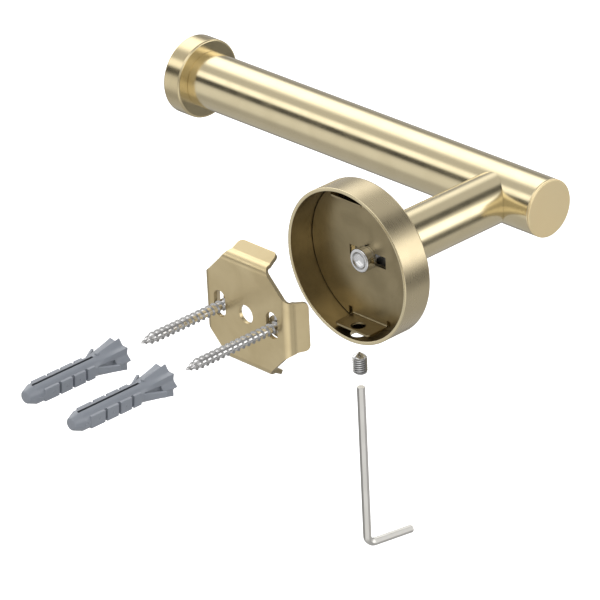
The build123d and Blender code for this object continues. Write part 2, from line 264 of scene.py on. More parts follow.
def soften(piece: bpy.types.Object, width: float, angle: float = 32.0, steps: int = 2) -> None:
    """Rounds the sharp edges of a piece.

    Args:
        piece: The piece.
        width: The width of the rounding in millimetres.
        angle: The least angle of an edge that counts as sharp, in degrees.
        steps: Faces across the rounding.
    """
    step = piece.modifiers.new("soften", "BEVEL")
    step.width = width * MM
    step.segments = steps
    step.limit_method = "ANGLE"
    step.angle_limit = math.radians(angle)
    step.use_clamp_overlap = True
    activate(piece)
    bpy.ops.object.modifier_apply(modifier=step.name)


def smooth(piece: bpy.types.Object, angle: float = 30.0) -> None:
    """Shades a piece smooth, apart from edges sharper than an angle.

    Args:
        piece: The piece.
        angle: That angle, in degrees.
    """
    activate(piece)
    bpy.ops.object.shade_smooth_by_angle(angle=math.radians(angle))
    step = piece.modifiers.new("even_shading", "WEIGHTED_NORMAL")
    step.keep_sharp = True
    bpy.ops.object.modifier_apply(modifier=step.name)


def box_tool(low: Vector, high: Vector) -> bpy.types.Object:
    """A box between two corners, as a cutting tool.

    Args:
        low: The lowest corner, in metres.
        high: The highest corner, in metres.

    Returns:
        The box.
    """
    bpy.ops.object.select_all(action="DESELECT")
    bpy.ops.mesh.primitive_cube_add(size=1, location=(low + high) / 2)
    tool = bpy.context.object
    tool.scale = high - low
    bpy.ops.object.transform_apply(location=True, rotation=True, scale=True)
    return tool


def rod_tool(radius: float, length: float, at: Vector, facing: Facing, sides: int = 64,
             turn: float = 0.0) -> bpy.types.Object:
    """A rod centred on a point, as a cutting tool.

    Args:
        radius: Its radius in millimetres.
        length: Its length in millimetres.
        at: Its middle, in metres.
        facing: Where its axis points.
        sides: How many sides it has; six make a hexagon.
        turn: Its turn round its own axis, in degrees.

    Returns:
        The rod.
    """
    bpy.ops.object.select_all(action="DESELECT")
    bpy.ops.mesh.primitive_cylinder_add(vertices=sides, radius=radius * MM, depth=length * MM)
    return set_down(bpy.context.object, at, facing, turn)


def room(node: str) -> tuple[Vector, Vector, Vector, Vector]:
    """The room that a node takes: lowest corner, highest corner, middle, and size in millimetres."""
    low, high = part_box(node)
    return low, high, (low + high) / 2, (high - low) / MM


def rounded(points: Sequence[tuple[float, float, float]], steps: int = 5) -> list[tuple[float, float]]:
    """An outline with rounded corners and a guard point beside each rounding.

    Args:
        points: (radius, height, corner radius) in millimetres.
        steps: Faces along each corner.

    Returns:
        The (radius, height) points of the outline.
    """
    guard = 0.12
    outline: list[tuple[float, float]] = []
    for place, (across, height, corner) in enumerate(points):
        here = Vector((across, height))
        if corner <= 0 or place in (0, len(points) - 1):
            outline.append((across, height))
            continue
        before = Vector(points[place - 1][:2]) - here
        after = Vector(points[place + 1][:2]) - here
        half = before.angle(after) / 2
        reach = corner / math.tan(half)
        start, end = before.normalized(), after.normalized()
        centre = here + (start + end).normalized() * corner / math.sin(half)
        if before.length > reach + 3 * guard:
            outline.append(tuple(here + start * (reach + guard)))
        first = here + start * reach - centre
        sweep = first.angle_signed(here + end * reach - centre)
        for step in range(steps + 1):
            spot = first.copy()
            spot.rotate(Matrix.Rotation(-sweep * step / steps, 2))
            outline.append(tuple(centre + spot))
        if after.length > reach + 3 * guard:
            outline.append(tuple(here + end * (reach + guard)))
    return outline


def arc_steps(radius: float, start: float, end: float, steps: int) -> list[tuple[float, float]]:
    """The small moves along an arc, for growing a sheet round a bend.

    Args:
        radius: The arc's radius in millimetres.
        start: Heading at its start, in degrees from straight on.
        end: Heading at its end.
        steps: How many moves.

    Returns:
        (forward, sideways) moves in millimetres.
    """
    moves = []
    turn = (end - start) / steps
    chord = 2 * radius * math.sin(math.radians(abs(turn)) / 2)
    for step in range(steps):
        heading = math.radians(start + turn * (step + 0.5))
        moves.append((chord * math.cos(heading), chord * math.sin(heading)))
    return moves


# ------------------------------------------------------------------------------ shared effects
def feed(tree: bpy.types.NodeTree, node: bpy.types.Node, inputs: dict[str | int, object]) -> bpy.types.Node:
    """Links or sets a node's inputs.

    Args:
        tree: The tree that the node is in.
        node: The node.
        inputs: A socket or a plain value for each input's name or number.

    Returns:
        The same node.
    """
    for key, value in inputs.items():
        if isinstance(value, bpy.types.NodeSocket):
            tree.links.new(value, node.inputs[key])
        else:
            node.inputs[key].default_value = value
    return node


def new_group(name: str, inputs: dict[str, object], output: str) -> bpy.types.NodeTree:
    """Starts a shader node group.

    Args:
        name: The group's name.
        inputs: Each input's name and default; a tuple makes it a vector.
        output: The name of its value output.

    Returns:
        The group, with its input and output nodes.
    """
    tree = bpy.data.node_groups.new(name, "ShaderNodeTree")
    for label, default in inputs.items():
        kind = "NodeSocketVector" if isinstance(default, tuple) else "NodeSocketFloat"
        socket = tree.interface.new_socket(name=label, in_out="INPUT", socket_type=kind)
        socket.default_value = default
    tree.interface.new_socket(name=output, in_out="OUTPUT", socket_type="NodeSocketFloat")
    tree.nodes.new("NodeGroupInput")
    tree.nodes.new("NodeGroupOutput")
    return tree


def maths(tree: bpy.types.NodeTree, operation: str, *values: object) -> bpy.types.NodeSocket:
    """Adds a Math node.

    Args:
        tree: The tree it goes into.
        operation: The Math node's operation.
        values: Sockets or numbers for its inputs.

    Returns:
        Its output socket.
    """
    node = tree.nodes.new("ShaderNodeMath")
    node.operation = operation
    return feed(tree, node, dict(enumerate(values))).outputs[0]


def spread(tree: bpy.types.NodeTree, value: bpy.types.NodeSocket, low: float, high: float,
           to_low: float, to_high: float) -> bpy.types.NodeSocket:
    """Adds a smooth Map Range node.

    Args:
        tree: The tree it goes into.
        value: The socket it reads.
        low: The value that gives to_low.
        high: The value that gives to_high.
        to_low: The lowest result.
        to_high: The highest result.

    Returns:
        Its output socket.
    """
    node = tree.nodes.new("ShaderNodeMapRange")
    node.interpolation_type = "SMOOTHSTEP"
    limits = {"From Min": low, "From Max": high, "To Min": to_low, "To Max": to_high}
    return feed(tree, node, {"Value": value, **limits}).outputs["Result"]


class Effects:
    """The node groups that several finishes share."""

    def __init__(self) -> None:
        """Builds each group once."""
        self.grain = self._grain()
        self.clouds = self._clouds()

    def _grain(self) -> bpy.types.NodeTree:
        """Fine lines from brushing or drawing, long one way and fine the other two."""
        tree = new_group("brushed_lines", {"Vector": (0.0, 0.0, 0.0), "Lines": (1.0, 1.0, 1.0)}, "Line")
        source = tree.nodes["Group Input"].outputs
        scaled = tree.nodes.new("ShaderNodeVectorMath")
        scaled.operation = "MULTIPLY"
        feed(tree, scaled, {0: source["Vector"], 1: source["Lines"]})
        noise = feed(tree, tree.nodes.new("ShaderNodeTexNoise"), {
            "Vector": scaled.outputs[0], "Scale": 1.0, "Detail": 4.0, "Roughness": 0.65})
        feed(tree, tree.nodes["Group Output"], {"Line": noise.outputs["Fac"]})
        return tree

    def _clouds(self) -> bpy.types.NodeTree:
        """Slow clouds for handling marks and uneven plating."""
        tree = new_group("handling_clouds", {"Vector": (0.0, 0.0, 0.0), "Size": 90.0}, "Cloud")
        source = tree.nodes["Group Input"].outputs
        noise = feed(tree, tree.nodes.new("ShaderNodeTexNoise"), {
            "Vector": source["Vector"], "Scale": source["Size"], "Detail": 3.0, "Distortion": 0.6})
        cloud = spread(tree, noise.outputs["Fac"], 0.3, 0.7, 0.0, 1.0)
        feed(tree, tree.nodes["Group Output"], {"Cloud": cloud})
        return tree


@dataclass(frozen=True)
class Finish:
    """One surface finish: a metal, or a moulded plastic when metallic is 0."""

    name: str
    colour: tuple[float, float, float]
    shade: tuple[float, float, float]
    roughness: float
    roughness_swing: float = 0.04
    metallic: float = 1.0
    lines: tuple[float, float, float] = (900.0, 900.0, 900.0)
    line_depth: float = 0.05
    line_height: float = 0.02
    cloud_size: float = 90.0
    cloud_weight: float = 0.35
    bump_strength: float = 0.6
    coat: float = 0.0

    def material(self, effects: Effects) -> bpy.types.Material:
        """Builds the finish as a material.

        Args:
            effects: The shared node groups.

        Returns:
            The material.
        """
        made = bpy.data.materials.new(self.name)
        made.use_nodes = True
        tree = made.node_tree
        where = tree.nodes.new("ShaderNodeTexCoord").outputs["Object"]
        grain = tree.nodes.new("ShaderNodeGroup")
        grain.node_tree = effects.grain
        line = feed(tree, grain, {"Vector": where, "Lines": self.lines}).outputs["Line"]
        clouds = tree.nodes.new("ShaderNodeGroup")
        clouds.node_tree = effects.clouds
        cloud = feed(tree, clouds, {"Vector": where, "Size": self.cloud_size}).outputs["Cloud"]

        clouded = maths(tree, "MULTIPLY", cloud, self.cloud_weight)
        tone = maths(tree, "MULTIPLY_ADD", line, self.line_depth, clouded)
        mix = tree.nodes.new("ShaderNodeMix")
        mix.data_type = "RGBA"
        feed(tree, mix, {"A": (*self.colour, 1.0), "B": (*self.shade, 1.0), "Factor": tone})
        least = self.roughness - self.roughness_swing / 2
        swing = maths(tree, "MULTIPLY_ADD", cloud, self.roughness_swing, least)
        bump = feed(tree, tree.nodes.new("ShaderNodeBump"), {
            "Strength": self.bump_strength, "Distance": self.line_height * MM, "Height": line})
        feed(tree, tree.nodes["Principled BSDF"], {
            "Base Color": mix.outputs["Result"],
            "Roughness": maths(tree, "MULTIPLY_ADD", line, self.line_depth, swing),
            "Normal": bump.outputs["Normal"],
            "Metallic": self.metallic,
            "Coat Weight": self.coat,
        })
        return made


class Palette:
    """All the finishes of the holder and its kit, with darker and lighter copies of the gold, steel and
    plastic that paint shade and light.
    """

    FINISHES = {
        "gold_bar": Finish("satin_gold_bar", (0.755, 0.655, 0.43), (0.70, 0.60, 0.38), 0.17,
                           lines=(60.0, 3600.0, 3600.0), line_height=0.002),
        "gold_post": Finish("satin_gold_post", (0.755, 0.655, 0.43), (0.70, 0.60, 0.38), 0.18,
                            lines=(3600.0, 60.0, 3600.0), line_height=0.002),
        # A darker copy of the gold for the cup's outer side: painted shade.
        "gold_cup": Finish("shaded_gold_cup", (0.625, 0.53, 0.345), (0.56, 0.47, 0.295), 0.25,
                           lines=(120.0, 3600.0, 120.0), line_height=0.0005),
        # A darker copy of the gold for the end flange: painted shade.
        "gold_flange": Finish("shaded_gold_flange", (0.70, 0.59, 0.365), (0.63, 0.53, 0.315), 0.18,
                              lines=(3600.0, 120.0, 120.0), line_height=0.0015),
        # A lighter, warmer copy of the gold for the near end cap: painted light.
        "gold_cap": Finish("lit_gold_cap", (0.98, 0.82, 0.51), (0.95, 0.78, 0.47), 0.48,
                           lines=(1300.0, 1700.0, 1700.0), line_depth=0.08, line_height=0.003),
        # A dark copy of the gold for the cup's inside and the ear plate: painted shade.
        "gold_in_shade": Finish("inner_gold_in_shade", (0.36, 0.295, 0.175), (0.27, 0.22, 0.125), 0.28,
                         lines=(700.0, 260.0, 700.0), line_height=0.008, cloud_weight=0.7),
        # A darker copy of the gold for the bracket's rim faces: painted shade.
        "cut_edge": Finish("plate_edge_painted_shade", (0.36, 0.295, 0.18), (0.27, 0.22, 0.13), 0.42),
        "bracket": Finish("pressed_gold_plate", (0.755, 0.625, 0.375), (0.66, 0.535, 0.305), 0.30,
                          lines=(300.0, 500.0, 900.0), line_height=0.005, cloud_weight=0.7, line_depth=0.09),
        "steel": Finish("bright_steel", (0.76, 0.76, 0.76), (0.60, 0.60, 0.61), 0.15,
                        line_depth=0.08, line_height=0.003),
        "zinc": Finish("zinc_plate", (0.74, 0.73, 0.72), (0.58, 0.57, 0.57), 0.17,
                       lines=(700.0, 700.0, 700.0), line_depth=0.10, line_height=0.004),
        # A dark copy of the steel for thread flanks and crests and the screw's dish: painted shade.
        "steel_painted_shade": Finish("steel_painted_shade", (0.42, 0.415, 0.405), (0.22, 0.22, 0.22), 0.25),
        "nickel": Finish("nickel_plate", (0.70, 0.685, 0.645), (0.61, 0.595, 0.555), 0.27,
                         lines=(900.0, 900.0, 14.0), line_depth=0.06, line_height=0.002),
        "plain_steel": Finish("plain_steel", (0.45, 0.45, 0.45), (0.36, 0.36, 0.36), 0.42),
        # A dark copy of the plastic for the plug's bore and slit: painted shade.
        "plastic_painted_shade": Finish("grey_plastic_painted_shade", (0.10, 0.11, 0.125), (0.07, 0.075, 0.09), 0.6,
                                 metallic=0.0),
        "plastic": Finish("grey_moulded_plastic", (0.27, 0.292, 0.33), (0.225, 0.245, 0.283), 0.30,
                          metallic=0.0, lines=(1400.0, 1400.0, 1400.0), line_depth=0.08, line_height=0.01,
                          coat=0.35),
    }

    def __init__(self) -> None:
        """Builds every finish once."""
        effects = Effects()
        self._made = {key: finish.material(effects) for key, finish in self.FINISHES.items()}

    def wear(self, piece: bpy.types.Object, *keys: str) -> None:
        """Fills the material slots of a piece whose faces already know their slot.

        Args:
            piece: The piece, without materials yet.
            keys: The finishes' keys, one for each slot.
        """
        for key in keys:
            piece.data.materials.append(self._made[key])

    def dress(self, piece: bpy.types.Object, *keys: str) -> None:
        """Gives a piece its finishes; all its faces wear the first one.

        Args:
            piece: The piece.
            keys: The finishes' keys, one for each material slot.
        """
        piece.data.materials.clear()
        self.wear(piece, *keys)


def hand_over(piece: bpy.types.Object, body: str, slot: str, *nodes: str) -> None:
    """Reports a finished piece to the frame.

    Args:
        piece: The finished piece, in place.
        body: The body it rides on.
        slot: The record's material slot; not used.
        nodes: The nodes it stands for.
    """
    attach(piece, body)
    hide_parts(*nodes)
    LOG.info("%s: %d faces, rides on %s", piece.name, len(piece.data.polygons), body)


# ------------------------------------------------------------------------------ the holder
@dataclass
class BaseCup:
    """The round cup and the ear plate inside it."""

    wall: float = 1.3
    wall_margin: float = 0.05
    front: float = 0.8
    edge: float = 0.7
    inner_corner: float = 0.15
    rim_edge: float = 0.28
    slot_length: float = 16.6
    slot_height: float = 4.2
    screw_hole: float = 5.4
    set_hole: float = 5.6
    thread_hole: float = 5.1
    ear_width: float = 16.0
    ear_bend: float = 1.1
    ear_corner: float = 1.5
    ear_thick: float = 0.8
    ear_edge: float = 0.14
    relief_width: float = 1.8
    relief_depth: float = 2.5
    plate_gap: float = 0.2
    plate_steps: int = 40
    body: str = "holder"

    def build(self, palette: Palette) -> None:
        """Makes and dresses cup and ear plate.

        Args:
            palette: The finishes.
        """
        cup = self._cup()
        # Outer side and inside wear darker copies of the gold as painted shade; the rim wears the bar's gold.
        palette.dress(cup, "gold_cup", "gold_in_shade", "gold_bar")
        self._darken_inside(cup)
        hand_over(cup, self.body, "gold_satin", "base_cup")
        plate = self._ear_plate()
        # The ear plate wears the dark copy of the gold: painted shade inside the cup.
        palette.dress(plate, "gold_in_shade")
        hand_over(plate, self.body, "bronze_inner", "ear_plate")

    def _slot_tool(self, low_y: float, high_y: float, centre: Vector) -> bpy.types.Object:
        """The cutter for the long slot and the screw's hole.

        Args:
            low_y: Where it starts, in metres.
            high_y: Where it ends.
            centre: A point on the cup's axis.

        Returns:
            The cutter.
        """
        half = Vector((self.slot_length / 2 * MM, 0, self.slot_height / 2 * MM))
        low, high = Vector((centre.x, low_y, centre.z)) - half, Vector((centre.x, high_y, centre.z)) + half
        tool = box_tool(low, high)
        middle = Vector((centre.x, (low_y + high_y) / 2, centre.z))
        hole = rod_tool(self.screw_hole / 2, (high_y - low_y) / MM, middle, Facing.WALL)
        combine(tool, hole, Joining.ADD)
        return tool

    def _cup(self) -> bpy.types.Object:
        """The cup: turned, then pierced."""
        low, _, centre, size = room("base_cup")
        radius, depth, inner = size.x / 2, size.y, size.x / 2 - self.wall
        outline = rounded([
            (0, 0, 0), (radius, 0, self.edge), (radius, depth, self.rim_edge), (inner, depth, self.rim_edge),
            (inner, self.front, self.inner_corner), (0, self.front, 0),
        ])
        cup = set_down(spun("base_cup_shell", outline, 160), Vector((centre.x, low.y, centre.z)), Facing.WALL)
        combine(cup, self._slot_tool(low.y - MM, low.y + 2 * self.front * MM, centre))
        hole_at = Vector((centre.x, room("set_screw")[2].y, low.z + self.wall / 2 * MM))
        combine(cup, rod_tool(self.set_hole / 2, 4 * self.wall, hole_at, Facing.UP))
        smooth(cup)
        return cup

    def _darken_inside(self, cup: bpy.types.Object) -> None:
        """Gives the faces inside the cup a darker copy of the gold as painted shade, and the rim the bar's
        gold; the outer side keeps the first slot, also painted shade.

        Args:
            cup: The finished cup, with its three material slots.
        """
        low, high, centre, size = room("base_cup")
        inner = (size.x / 2 - self.wall + self.wall_margin) * MM
        for face in cup.data.polygons:
            spot = face.center
            across = math.hypot(spot.x - centre.x, spot.z - centre.z)
            # Inner faces take the dark copy of the gold: painted shade.
            if across < inner and spot.y > low.y + 0.5 * self.front * MM:
                face.material_index = 1
            elif spot.y > high.y - self.rim_edge * MM:
                face.material_index = 2

    def _ear_plate(self) -> bpy.types.Object:
        """The disc with its two ears: one sheet, grown, thickened and pierced."""
        _, _, centre, cup_size = room("base_cup")
        low, high, _, size = room("ear_plate")
        radius = cup_size.x / 2 - self.wall - self.plate_gap
        bend_start = size.z / 2 - self.ear_thick / 2 - self.ear_bend
        flat = self._plate_outline(radius, bend_start)
        plane = low.y + self.ear_thick / 2 * MM
        points = [Vector((centre.x + x * MM, plane, centre.z + z * MM)) for x, z in flat]
        sheet = laid_line("ear_plate_sheet", points, filled=True)
        straight = (size.y - self.ear_thick / 2 - self.ear_bend) / 2
        moves = arc_steps(self.ear_bend, 0, 90, 6) + [(0, straight)] * 2
        for side in (1, -1):
            open_mesh(sheet)
            pick_points(sheet, lambda co: abs(co.z - centre.z - side * bend_start * MM) < WELD
                        and abs(co.x - centre.x) < (self.ear_width / 2 + 0.1) * MM)
            for forward, sideways in moves:
                bpy.ops.mesh.extrude_edges_move(
                    TRANSFORM_OT_translate={"value": (0, sideways * MM, side * forward * MM)})
            pick_points(sheet, lambda co: side * (co.z - centre.z) > 0 and co.y > high.y - 2 * WELD)
            bpy.ops.mesh.bevel(offset=self.ear_corner * MM, segments=6, affect="VERTICES")
            close_mesh()
        thicken(sheet, self.ear_thick)
        combine(sheet, self._slot_tool(low.y - MM, low.y + 2 * MM, centre))
        hole_at = Vector((centre.x, room("set_screw")[2].y, low.z))
        combine(sheet, rod_tool(self.thread_hole / 2, 4, hole_at, Facing.UP))
        soften(sheet, self.ear_edge)
        smooth(sheet)
        return sheet

    def _plate_outline(self, radius: float, bend_start: float) -> list[tuple[float, float]]:
        """The flat outline before the ears are grown.

        Args:
            radius: The disc's radius in millimetres.
            bend_start: Where an ear's bend starts, from the axis.

        Returns:
            The (x, z) points in millimetres, once round.
        """
        half = self.ear_width / 2
        notch = half + self.relief_width
        floor = bend_start + self.ear_bend - self.relief_depth
        start = math.atan2(math.sqrt(radius ** 2 - notch ** 2), notch)
        flat: list[tuple[float, float]] = []
        for sign in (1, -1):
            upper = [(-half, bend_start), (half, bend_start), (half, floor), (notch, floor)]
            flat += [(sign * x, sign * z) for x, z in upper]
            for step in range(self.plate_steps + 1):
                angle = start - 2 * start * step / self.plate_steps
                flat.append((sign * radius * math.cos(angle), sign * radius * math.sin(angle)))
            flat += [(sign * notch, -sign * floor), (sign * half, -sign * floor)]
        return flat


def thicken(sheet: bpy.types.Object, thick: float) -> None:
    """Turns a sheet into a plate, half its thickness to each side.

    Args:
        sheet: The sheet, one face thick.
        thick: The plate's thickness in millimetres.
    """
    open_mesh(sheet)
    tidy_open_mesh()
    step = sheet.modifiers.new("thicken", "SOLIDIFY")
    step.thickness = thick * MM
    step.offset = 0
    step.use_even_offset = True
    step.material_offset_rim = 1
    activate(sheet)
    bpy.ops.object.modifier_apply(modifier=step.name)


@dataclass
class Arm:
    """The post and the roll bar with its cap and flange."""

    sides: int = 128
    cap_edge: float = 0.45
    cap_back_edge: float = 0.25
    cap_step: float = 1.6
    flange_edge: float = 0.7
    tube_wall: float = 1.5
    joint_shadow: float = 0.05
    stud_radius: float = 3.05
    stud_hole: float = 5.5
    body: str = "holder"

    def build(self, palette: Palette) -> None:
        """Makes and dresses post, bar, cap and flange.

        Args:
            palette: The finishes.
        """
        # The cap wears a lighter copy of the gold as painted light, and the flange a darker one as painted
        # shade.
        for piece, finish, slot, node in (
            (self._post(), "gold_post", "gold_satin", "post_tube"),
            (self._bar(), "gold_bar", "gold_satin", "bar_tube"),
            (self._cap(), "gold_cap", "gold_polished", "bar_end_cap"),
            (self._flange(), "gold_flange", "gold_satin", "end_flange"),
        ):
            palette.dress(piece, finish)
            hand_over(piece, self.body, slot, node)

    def _tube_outline(self, radius: float, length: float, first: float,
                      last: float) -> list[tuple[float, float]]:
        """The section of a tube's wall.

        Args:
            radius: The tube's outer radius in millimetres.
            length: Its length.
            first: The rounding of its outer edge at the start.
            last: The rounding at the far end.

        Returns:
            The (radius, height) points, once round the wall.
        """
        inner, middle = radius - self.tube_wall, length / 2
        return rounded([(inner, middle, 0), (inner, 0, 0), (radius, 0, first), (radius, length, last),
                        (inner, length, 0), (inner, middle, 0)], 3)

    def _post(self) -> bpy.types.Object:
        """The post, cut to the bar's round."""
        _, high, centre, size = room("post_tube")
        _, _, bar_centre, bar_size = room("bar_tube")
        outline = self._tube_outline(size.x / 2, (high.y - bar_centre.y) / MM, 0, 0.15)
        at = Vector((centre.x, bar_centre.y, centre.z))
        post = set_down(spun("post_sleeve", outline, self.sides), at, Facing.WALL)
        radius = bar_size.z / 2 + self.joint_shadow
        combine(post, rod_tool(radius, 1.5 * size.x, at, Facing.ALONG_BAR, 160))
        smooth(post)
        return post

    def _turned(self, name: str, node: str, outline: Sequence[tuple[float, float]]) -> bpy.types.Object:
        """A piece turned on the bar's axis, from where its node starts.

        Args:
            name: The piece's name.
            node: The node it stands for.
            outline: Its (radius, height) points.

        Returns:
            The piece, in place.
        """
        low, _, centre, _ = room(node)
        piece = spun(name, outline, self.sides)
        set_down(piece, Vector((low.x, centre.y, centre.z)), Facing.ALONG_BAR)
        smooth(piece)
        return piece

    def _bar(self) -> bpy.types.Object:
        """The bar's tube, which the cap and the flange close."""
        size = room("bar_tube")[3]
        return self._turned("roll_bar_sleeve", "bar_tube", self._tube_outline(size.z / 2, size.x, 0.28, 0.2))

    def _cap(self) -> bpy.types.Object:
        """The disc that closes the near end."""
        low, _, _, size = room("bar_end_cap")
        radius, step = size.z / 2, size.z / 2 - self.cap_step
        thick = (room("bar_tube")[0].x - low.x) / MM
        return self._turned("bar_cap_disc", "bar_end_cap", rounded([
            (0, 0, 0), (radius, 0, self.cap_edge), (radius, thick, self.cap_back_edge), (step, thick, 0),
            (step, size.x, 0), (0, size.x, 0),
        ]))

    def _flange(self) -> bpy.types.Object:
        """The round stop on the far end."""
        size = room("end_flange")[3]
        radius = size.z / 2
        return self._turned("end_flange_disc", "end_flange", rounded([
            (0, self.stud_hole, 0), (self.stud_radius, self.stud_hole, 0), (self.stud_radius, 0, 0),
            (radius, 0, self.flange_edge), (radius, size.x, self.flange_edge), (0, size.x, 0),
        ], 6))


@dataclass
class PostScrew:
    """The low socket-head screw and the split washer in the cup."""

    socket_flats: float = 4.0
    socket_depth: float = 1.3
    shank: float = 5.0
    head_edge: float = 0.5
    dish_outer: float = 3.1
    dish_inner: float = 2.5
    dish_depth: float = 0.4
    washer_gap: float = 0.2
    washer_split: float = 0.7
    body: str = "holder"

    def build(self, palette: Palette) -> None:
        """Makes and dresses screw and washer.

        Args:
            palette: The finishes.
        """
        low, high, centre, size = room("post_screw")
        seat = (room("lock_washer")[1].y - low.y) / MM
        floor = size.y - self.dish_depth
        outline = rounded([
            (0, 0, 0), (self.shank / 2, 0, 0.4), (self.shank / 2, seat, 0), (size.x / 2, seat, 0.15),
            (size.x / 2, size.y, self.head_edge), (self.dish_outer, size.y, 0.08),
            (self.dish_inner, floor, 0), (0, floor, 0),
        ], 4)
        at = Vector((centre.x, low.y, centre.z))
        screw = set_down(spun("post_screw_low_head", outline, 64), at, Facing.WALL)
        corner = self.socket_flats / math.sqrt(3)
        mouth = Vector((centre.x, high.y, centre.z))
        combine(screw, rod_tool(corner, 2 * self.socket_depth, mouth, Facing.WALL, 6))
        soften(screw, 0.1, 50)
        smooth(screw)
        # The dish's slope wears the dark steel copy: painted shade.
        palette.dress(screw, "steel", "steel_painted_shade")
        self._darken_dish(screw, mouth)
        hand_over(screw, self.body, "steel_bright", "post_screw")
        self._washer(palette)

    def _darken_dish(self, screw: bpy.types.Object, mouth: Vector) -> None:
        """Gives the dish's slope a dark copy of the steel: painted shade of the recess.

        Args:
            screw: The finished screw, with its two material slots.
            mouth: The middle of the dish.
        """
        for face in screw.data.polygons:
            across = math.hypot(face.center.x - mouth.x, face.center.z - mouth.z)
            inside = (self.dish_inner - 0.05) * MM < across < (self.dish_outer + 0.02) * MM
            if inside and mouth.y - (self.dish_depth + 0.05) * MM < face.center.y < mouth.y - 0.02 * MM:
                face.material_index = 1

    def _washer(self, palette: Palette) -> None:
        """The split washer under the head.

        Args:
            palette: The finishes.
        """
        low, high, centre, size = room("lock_washer")
        radius, thick, inner = size.x / 2, size.y, self.shank / 2 + self.washer_gap
        outline = rounded([
            (inner, thick / 2, 0), (inner, 0, 0.1), (radius, 0, 0.12), (radius, thick, 0.12),
            (inner, thick, 0.1), (inner, thick / 2, 0),
        ], 2)
        at = Vector((centre.x, low.y, centre.z))
        washer = set_down(spun("split_washer_ring", outline, 64), at, Facing.WALL)
        half = self.washer_split / 2 * MM
        combine(washer, box_tool(Vector((at.x - half, low.y - MM, at.z)),
                                 Vector((at.x + half, high.y + MM, high.z + MM))))
        smooth(washer)
        palette.dress(washer, "steel")
        hand_over(washer, self.body, "steel_bright", "lock_washer")


# ------------------------------------------------------------------------------ the bracket
@dataclass
class WallBracket:
    """The stamped plate with four bent tabs."""

    thick: float = 1.5
    flats: float = 39.2
    diagonal: float = 39.6
    tab_width: float = 17.4
    bend: float = 2.2
    neck_depth: float = 3.6
    tab_corner: float = 2.0
    tip: float = 0.55
    centre_hole: float = 6.4
    slot_width: float = 5.2
    slot_length: float = 9.4
    edge: float = 0.16
    body: str = "bracket"

    def build(self, palette: Palette) -> None:
        """Makes and dresses the bracket.

        Args:
            palette: The finishes.
        """
        low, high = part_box("wall_bracket")
        plane = high.y - self.thick / 2 * MM
        sheet = self._sheet(low, high, plane)
        # Its rim faces wear a darker copy of the gold: painted shade.
        palette.dress(sheet, "bracket", "cut_edge")
        thicken(sheet, self.thick)
        self._pierce(sheet, plane)
        soften(sheet, self.edge)
        smooth(sheet)
        hand_over(sheet, self.body, "bracket_gold", "wall_bracket")

    def _tab_moves(self, reach: float, depth: float) -> list[tuple[float, float]]:
        """The moves from the plate's edge to the tab's tip.

        Args:
            reach: The tip's distance from the axis, in millimetres.
            depth: How far the tip stands out from the sheet's own plane.

        Returns:
            (outwards, into the room) moves.
        """
        neck = self.flats / 2 - self.thick / 2
        fall = depth - (self.neck_depth - self.thick / 2)
        run = reach - neck
        slope = math.degrees(math.atan2(fall, run))
        cut_back = self.bend * math.tan(math.radians(90 - slope) / 2)
        straight = self.neck_depth - self.thick / 2 - self.bend - cut_back
        flare = math.hypot(run, fall) - cut_back + self.tip
        moves = arc_steps(self.bend, 0, 90, 10) + [(0, straight)] + arc_steps(self.bend, 90, slope, 5)
        heading = math.radians(slope)
        return moves + [(flare / 2 * math.cos(heading), flare / 2 * math.sin(heading))] * 2

    def _sheet(self, low: Vector, high: Vector, plane: float) -> bpy.types.Object:
        """The eight-sided sheet with its tabs grown from four edges.

        Args:
            low: The bracket's lowest corner.
            high: Its highest corner.
            plane: The sheet's plane.

        Returns:
            The sheet, one face thick.
        """
        flat = self.flats / 2 - self.thick / 2 - self.bend
        slant = self.diagonal / math.sqrt(2)
        half = slant - flat
        turns = [(flat, -half), (flat, half), (half, flat), (-half, flat),
                 (-flat, half), (-flat, -half), (-half, -flat), (half, -flat)]
        points = [Vector((x * MM, plane, z * MM)) for x, z in turns]
        sheet = laid_line("wall_bracket_plate", points, filled=True)
        reach = (high.x - low.x) / 2 / MM - self.thick / 2
        depth = (plane - low.y) / MM - self.thick / 2
        moves = self._tab_moves(reach, depth)
        for quarter in range(4):
            turn = Matrix.Rotation(quarter * math.pi / 2, 3, "Y")
            back = turn.inverted()
            open_mesh(sheet)
            pick_points(sheet, lambda co: (back @ co).x > (flat - 0.01) * MM and abs(co.y - plane) < WELD
                        and abs((back @ co).z) < (half + 0.01) * MM)
            place, width = flat, half
            for outwards, inwards in moves:
                bpy.ops.mesh.extrude_edges_move(
                    TRANSFORM_OT_translate={"value": turn @ Vector((outwards * MM, -inwards * MM, 0))})
                place += outwards
                narrowed = max(self.tab_width / 2, slant - place)
                share = narrowed / width
                across = (share, 1, 1) if quarter % 2 else (1, 1, share)
                bpy.ops.transform.resize(value=across, center_override=(0, 0, 0))
                width = narrowed
            pick_points(sheet, lambda co: (back @ co).x > reach * MM)
            bpy.ops.mesh.bevel(offset=self.tab_corner * MM, segments=6, affect="VERTICES")
            close_mesh()
        return sheet

    def _pierce(self, sheet: bpy.types.Object, plane: float) -> None:
        """Cuts the centre hole and the two screw slots.

        Args:
            sheet: The plate.
            plane: Its middle plane.
        """
        combine(sheet, rod_tool(self.centre_hole / 2, 4 * self.thick, Vector((0, plane, 0)), Facing.WALL, 48))
        half = self.slot_width / 2
        straight = (self.slot_length - self.slot_width) / 2
        for node in ("wall_screw_left", "wall_screw_right"):
            x = room(node)[2].x
            tool = box_tool(Vector((x - half * MM, plane - 3 * MM, -straight * MM)),
                            Vector((x + half * MM, plane + 3 * MM, straight * MM)))
            for end in (straight, -straight):
                rod = rod_tool(half, 6, Vector((x, plane, end * MM)), Facing.WALL, 48)
                combine(tool, rod, Joining.ADD)
            combine(sheet, tool)


